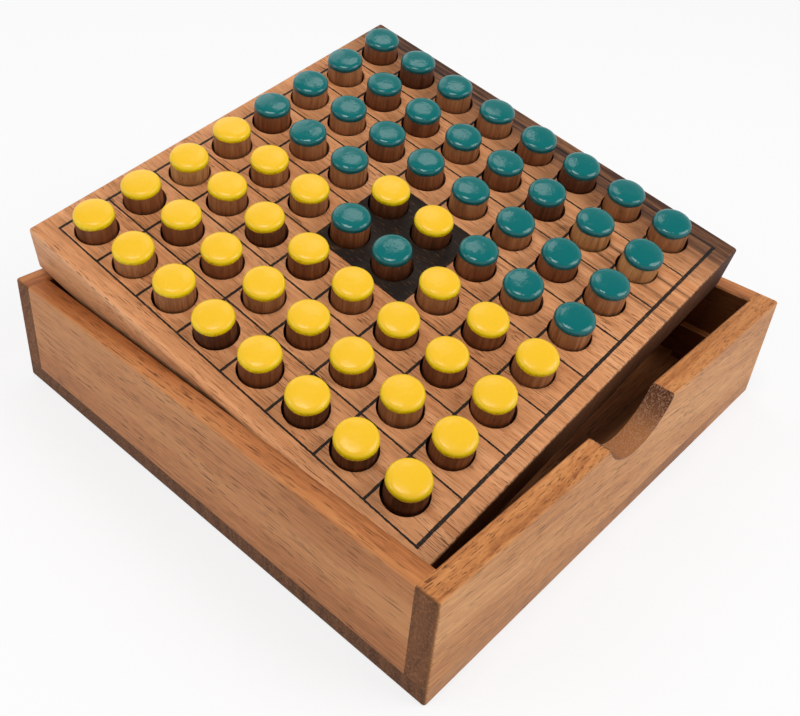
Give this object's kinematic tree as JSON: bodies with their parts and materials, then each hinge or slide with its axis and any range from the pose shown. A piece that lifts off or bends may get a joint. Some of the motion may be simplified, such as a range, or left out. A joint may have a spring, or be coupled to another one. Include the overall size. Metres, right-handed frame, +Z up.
{
  "type": "reversi board game",
  "caption": "Open wooden box with a finger notch; a thick playing board lies tilted in it, with loose two-coloured pegs in drilled holes.",
  "frame": {"origin": "middle of the box's underside", "axes": "+X along the notched front wall to the right, +Y from the front wall to the back wall, +Z up"},
  "size_m": [0.17, 0.168, 0.0891],
  "materials": {
    "box_wood": "sanded and oiled, open pores",
    "board_wood": "sanded and oiled, black print on top",
    "peg_wood": "bare dowel",
    "yellow_enamel": "glossy dipped enamel on one end of every peg",
    "green_enamel": "glossy dipped enamel on the other end of every peg"
  },
  "bodies": {
    "box": {"bottom_panel": "box_wood", "front_wall": "box_wood", "back_wall": "box_wood", "left_wall": "box_wood", "right_wall": "box_wood", "support_blocks": "box_wood"},
    "board": {"playing_board": "board_wood"},
    "corner_pegs_front_left": {"corner_pegs_front_left": "peg_wood"},
    "peg_a3": {"peg_a3": "peg_wood"},
    "peg_a4": {"peg_a4": "peg_wood"},
    "peg_a5": {"peg_a5": "peg_wood"},
    "peg_a6": {"peg_a6": "peg_wood"},
    "corner_pegs_back_left": {"corner_pegs_back_left": "peg_wood"},
    "peg_b3": {"peg_b3": "peg_wood"},
    "peg_b4": {"peg_b4": "peg_wood"},
    "peg_b5": {"peg_b5": "peg_wood"},
    "peg_b6": {"peg_b6": "peg_wood"},
    "peg_c1": {"peg_c1": "peg_wood"},
    "peg_c2": {"peg_c2": "peg_wood"},
    "peg_c3": {"peg_c3": "peg_wood"},
    "peg_c4": {"peg_c4": "peg_wood"},
    "peg_c5": {"peg_c5": "peg_wood"},
    "peg_c6": {"peg_c6": "peg_wood"},
    "peg_c7": {"peg_c7": "peg_wood"},
    "peg_c8": {"peg_c8": "peg_wood"},
    "peg_d1": {"peg_d1": "peg_wood"},
    "peg_d2": {"peg_d2": "peg_wood"},
    "peg_d3": {"peg_d3": "peg_wood"},
    "peg_d4": {"peg_d4": "peg_wood"},
    "peg_d5": {"peg_d5": "peg_wood"},
    "peg_d6": {"peg_d6": "peg_wood"},
    "peg_d7": {"peg_d7": "peg_wood"},
    "peg_d8": {"peg_d8": "peg_wood"},
    "peg_e1": {"peg_e1": "peg_wood"},
    "peg_e2": {"peg_e2": "peg_wood"},
    "peg_e3": {"peg_e3": "peg_wood"},
    "peg_e4": {"peg_e4": "peg_wood"},
    "peg_e5": {"peg_e5": "peg_wood"},
    "peg_e6": {"peg_e6": "peg_wood"},
    "peg_e7": {"peg_e7": "peg_wood"},
    "peg_e8": {"peg_e8": "peg_wood"},
    "peg_f1": {"peg_f1": "peg_wood"},
    "peg_f2": {"peg_f2": "peg_wood"},
    "peg_f3": {"peg_f3": "peg_wood"},
    "peg_f4": {"peg_f4": "peg_wood"},
    "peg_f5": {"peg_f5": "peg_wood"},
    "peg_f6": {"peg_f6": "peg_wood"},
    "peg_f7": {"peg_f7": "peg_wood"},
    "peg_f8": {"peg_f8": "peg_wood"},
    "corner_pegs_front_right": {"corner_pegs_front_right": "peg_wood"},
    "peg_g3": {"peg_g3": "peg_wood"},
    "peg_g4": {"peg_g4": "peg_wood"},
    "peg_g5": {"peg_g5": "peg_wood"},
    "peg_g6": {"peg_g6": "peg_wood"},
    "corner_pegs_back_right": {"corner_pegs_back_right": "peg_wood"},
    "peg_h3": {"peg_h3": "peg_wood"},
    "peg_h4": {"peg_h4": "peg_wood"},
    "peg_h5": {"peg_h5": "peg_wood"},
    "peg_h6": {"peg_h6": "peg_wood"}
  },
  "joints": [
    {"name": "board_lift", "type": "slide", "parent": "box", "child": "board", "axis": [0, 0, 1], "range_m": [0, 0.042]},
    {"name": "corner_pegs_front_left_lift", "type": "slide", "parent": "board", "child": "corner_pegs_front_left", "axis": [-0.1992, -0.2165, 0.9557], "range_m": [0, 0.02]},
    {"name": "peg_a3_lift", "type": "slide", "parent": "board", "child": "peg_a3", "axis": [-0.1992, -0.2165, 0.9557], "range_m": [0, 0.02]},
    {"name": "peg_a4_lift", "type": "slide", "parent": "board", "child": "peg_a4", "axis": [-0.1992, -0.2165, 0.9557], "range_m": [0, 0.02]},
    {"name": "peg_a5_lift", "type": "slide", "parent": "board", "child": "peg_a5", "axis": [-0.1992, -0.2165, 0.9557], "range_m": [0, 0.02]},
    {"name": "peg_a6_lift", "type": "slide", "parent": "board", "child": "peg_a6", "axis": [-0.1992, -0.2165, 0.9557], "range_m": [0, 0.02]},
    {"name": "corner_pegs_back_left_lift", "type": "slide", "parent": "board", "child": "corner_pegs_back_left", "axis": [-0.1992, -0.2165, 0.9557], "range_m": [0, 0.02]},
    {"name": "peg_b3_lift", "type": "slide", "parent": "board", "child": "peg_b3", "axis": [-0.1992, -0.2165, 0.9557], "range_m": [0, 0.02]},
    {"name": "peg_b4_lift", "type": "slide", "parent": "board", "child": "peg_b4", "axis": [-0.1992, -0.2165, 0.9557], "range_m": [0, 0.02]},
    {"name": "peg_b5_lift", "type": "slide", "parent": "board", "child": "peg_b5", "axis": [-0.1992, -0.2165, 0.9557], "range_m": [0, 0.02]},
    {"name": "peg_b6_lift", "type": "slide", "parent": "board", "child": "peg_b6", "axis": [-0.1992, -0.2165, 0.9557], "range_m": [0, 0.02]},
    {"name": "peg_c1_lift", "type": "slide", "parent": "board", "child": "peg_c1", "axis": [-0.1992, -0.2165, 0.9557], "range_m": [0, 0.02]},
    {"name": "peg_c2_lift", "type": "slide", "parent": "board", "child": "peg_c2", "axis": [-0.1992, -0.2165, 0.9557], "range_m": [0, 0.02]},
    {"name": "peg_c3_lift", "type": "slide", "parent": "board", "child": "peg_c3", "axis": [-0.1992, -0.2165, 0.9557], "range_m": [0, 0.02]},
    {"name": "peg_c4_lift", "type": "slide", "parent": "board", "child": "peg_c4", "axis": [-0.1992, -0.2165, 0.9557], "range_m": [0, 0.02]},
    {"name": "peg_c5_lift", "type": "slide", "parent": "board", "child": "peg_c5", "axis": [-0.1992, -0.2165, 0.9557], "range_m": [0, 0.02]},
    {"name": "peg_c6_lift", "type": "slide", "parent": "board", "child": "peg_c6", "axis": [-0.1992, -0.2165, 0.9557], "range_m": [0, 0.02]},
    {"name": "peg_c7_lift", "type": "slide", "parent": "board", "child": "peg_c7", "axis": [-0.1992, -0.2165, 0.9557], "range_m": [0, 0.02]},
    {"name": "peg_c8_lift", "type": "slide", "parent": "board", "child": "peg_c8", "axis": [-0.1992, -0.2165, 0.9557], "range_m": [0, 0.02]},
    {"name": "peg_d1_lift", "type": "slide", "parent": "board", "child": "peg_d1", "axis": [-0.1992, -0.2165, 0.9557], "range_m": [0, 0.02]},
    {"name": "peg_d2_lift", "type": "slide", "parent": "board", "child": "peg_d2", "axis": [-0.1992, -0.2165, 0.9557], "range_m": [0, 0.02]},
    {"name": "peg_d3_lift", "type": "slide", "parent": "board", "child": "peg_d3", "axis": [-0.1992, -0.2165, 0.9557], "range_m": [0, 0.02]},
    {"name": "peg_d4_lift", "type": "slide", "parent": "board", "child": "peg_d4", "axis": [-0.1992, -0.2165, 0.9557], "range_m": [0, 0.02]},
    {"name": "peg_d5_lift", "type": "slide", "parent": "board", "child": "peg_d5", "axis": [-0.1992, -0.2165, 0.9557], "range_m": [0, 0.02]},
    {"name": "peg_d6_lift", "type": "slide", "parent": "board", "child": "peg_d6", "axis": [-0.1992, -0.2165, 0.9557], "range_m": [0, 0.02]},
    {"name": "peg_d7_lift", "type": "slide", "parent": "board", "child": "peg_d7", "axis": [-0.1992, -0.2165, 0.9557], "range_m": [0, 0.02]},
    {"name": "peg_d8_lift", "type": "slide", "parent": "board", "child": "peg_d8", "axis": [-0.1992, -0.2165, 0.9557], "range_m": [0, 0.02]},
    {"name": "peg_e1_lift", "type": "slide", "parent": "board", "child": "peg_e1", "axis": [-0.1992, -0.2165, 0.9557], "range_m": [0, 0.02]},
    {"name": "peg_e2_lift", "type": "slide", "parent": "board", "child": "peg_e2", "axis": [-0.1992, -0.2165, 0.9557], "range_m": [0, 0.02]},
    {"name": "peg_e3_lift", "type": "slide", "parent": "board", "child": "peg_e3", "axis": [-0.1992, -0.2165, 0.9557], "range_m": [0, 0.02]},
    {"name": "peg_e4_lift", "type": "slide", "parent": "board", "child": "peg_e4", "axis": [-0.1992, -0.2165, 0.9557], "range_m": [0, 0.02]},
    {"name": "peg_e5_lift", "type": "slide", "parent": "board", "child": "peg_e5", "axis": [-0.1992, -0.2165, 0.9557], "range_m": [0, 0.02]},
    {"name": "peg_e6_lift", "type": "slide", "parent": "board", "child": "peg_e6", "axis": [-0.1992, -0.2165, 0.9557], "range_m": [0, 0.02]},
    {"name": "peg_e7_lift", "type": "slide", "parent": "board", "child": "peg_e7", "axis": [-0.1992, -0.2165, 0.9557], "range_m": [0, 0.02]},
    {"name": "peg_e8_lift", "type": "slide", "parent": "board", "child": "peg_e8", "axis": [-0.1992, -0.2165, 0.9557], "range_m": [0, 0.02]},
    {"name": "peg_f1_lift", "type": "slide", "parent": "board", "child": "peg_f1", "axis": [-0.1992, -0.2165, 0.9557], "range_m": [0, 0.02]},
    {"name": "peg_f2_lift", "type": "slide", "parent": "board", "child": "peg_f2", "axis": [-0.1992, -0.2165, 0.9557], "range_m": [0, 0.02]},
    {"name": "peg_f3_lift", "type": "slide", "parent": "board", "child": "peg_f3", "axis": [-0.1992, -0.2165, 0.9557], "range_m": [0, 0.02]},
    {"name": "peg_f4_lift", "type": "slide", "parent": "board", "child": "peg_f4", "axis": [-0.1992, -0.2165, 0.9557], "range_m": [0, 0.02]},
    {"name": "peg_f5_lift", "type": "slide", "parent": "board", "child": "peg_f5", "axis": [-0.1992, -0.2165, 0.9557], "range_m": [0, 0.02]},
    {"name": "peg_f6_lift", "type": "slide", "parent": "board", "child": "peg_f6", "axis": [-0.1992, -0.2165, 0.9557], "range_m": [0, 0.02]},
    {"name": "peg_f7_lift", "type": "slide", "parent": "board", "child": "peg_f7", "axis": [-0.1992, -0.2165, 0.9557], "range_m": [0, 0.02]},
    {"name": "peg_f8_lift", "type": "slide", "parent": "board", "child": "peg_f8", "axis": [-0.1992, -0.2165, 0.9557], "range_m": [0, 0.02]},
    {"name": "corner_pegs_front_right_lift", "type": "slide", "parent": "board", "child": "corner_pegs_front_right", "axis": [-0.1992, -0.2165, 0.9557], "range_m": [0, 0.02]},
    {"name": "peg_g3_lift", "type": "slide", "parent": "board", "child": "peg_g3", "axis": [-0.1992, -0.2165, 0.9557], "range_m": [0, 0.02]},
    {"name": "peg_g4_lift", "type": "slide", "parent": "board", "child": "peg_g4", "axis": [-0.1992, -0.2165, 0.9557], "range_m": [0, 0.02]},
    {"name": "peg_g5_lift", "type": "slide", "parent": "board", "child": "peg_g5", "axis": [-0.1992, -0.2165, 0.9557], "range_m": [0, 0.02]},
    {"name": "peg_g6_lift", "type": "slide", "parent": "board", "child": "peg_g6", "axis": [-0.1992, -0.2165, 0.9557], "range_m": [0, 0.02]},
    {"name": "corner_pegs_back_right_lift", "type": "slide", "parent": "board", "child": "corner_pegs_back_right", "axis": [-0.1992, -0.2165, 0.9557], "range_m": [0, 0.02]},
    {"name": "peg_h3_lift", "type": "slide", "parent": "board", "child": "peg_h3", "axis": [-0.1992, -0.2165, 0.9557], "range_m": [0, 0.02]},
    {"name": "peg_h4_lift", "type": "slide", "parent": "board", "child": "peg_h4", "axis": [-0.1992, -0.2165, 0.9557], "range_m": [0, 0.02]},
    {"name": "peg_h5_lift", "type": "slide", "parent": "board", "child": "peg_h5", "axis": [-0.1992, -0.2165, 0.9557], "range_m": [0, 0.02]},
    {"name": "peg_h6_lift", "type": "slide", "parent": "board", "child": "peg_h6", "axis": [-0.1992, -0.2165, 0.9557], "range_m": [0, 0.02]}
  ]
}
